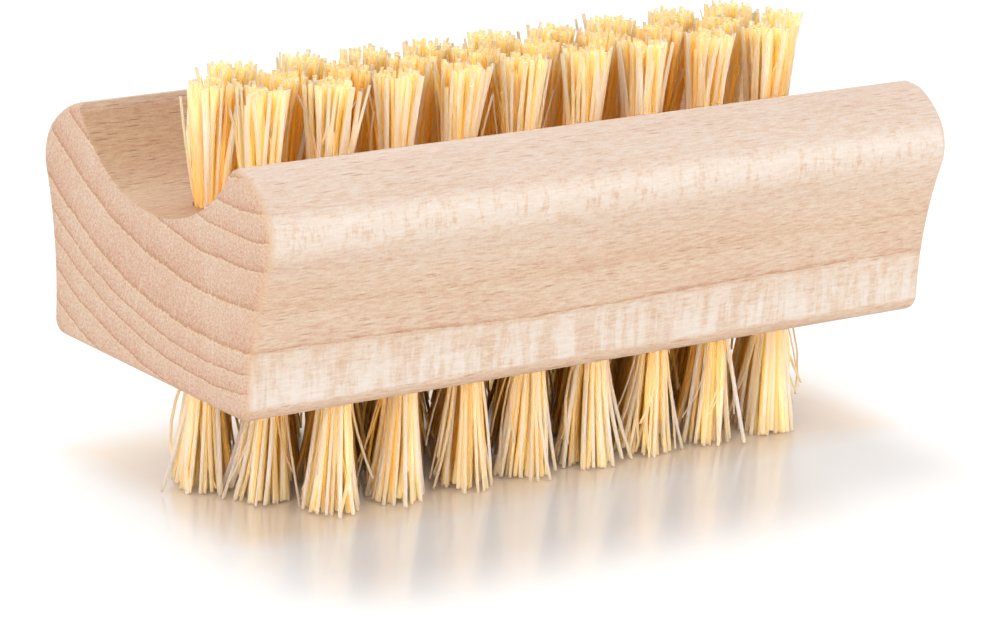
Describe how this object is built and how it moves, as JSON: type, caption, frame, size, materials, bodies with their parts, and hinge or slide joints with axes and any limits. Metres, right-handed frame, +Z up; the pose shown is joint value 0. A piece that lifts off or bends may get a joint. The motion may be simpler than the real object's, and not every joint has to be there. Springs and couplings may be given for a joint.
{
  "type": "double-sided nail brush",
  "caption": "Wooden hand brush with rounded grip sides, a channelled top with a narrow field of fibre tufts, and a wider field of tufts underneath.",
  "frame": {"origin": "centre of the bounding box on the plane of the lower bristle tips, on which the brush stands", "axes": "+X along the block, +Y across it to the back of the pictured view, +Z up from the lower tips to the upper tips"},
  "size_m": [0.095, 0.0458, 0.0468],
  "materials": {
    "beech": "satin",
    "fibre": "matte",
    "anchor_wire": "satin"
  },
  "bodies": {
    "root": {"beech_block": "beech", "lower_tufts_1": "fibre", "lower_tufts_2": "fibre", "lower_tufts_3": "fibre", "lower_tufts_4": "fibre", "lower_tufts_5": "fibre", "upper_tufts_1": "fibre", "upper_tufts_2": "fibre", "upper_tufts_3": "fibre", "lower_anchors_1": "anchor_wire", "lower_anchors_2": "anchor_wire", "lower_anchors_3": "anchor_wire", "lower_anchors_4": "anchor_wire", "lower_anchors_5": "anchor_wire", "upper_anchors_1": "anchor_wire", "upper_anchors_2": "anchor_wire", "upper_anchors_3": "anchor_wire"}
  },
  "joints": []
}
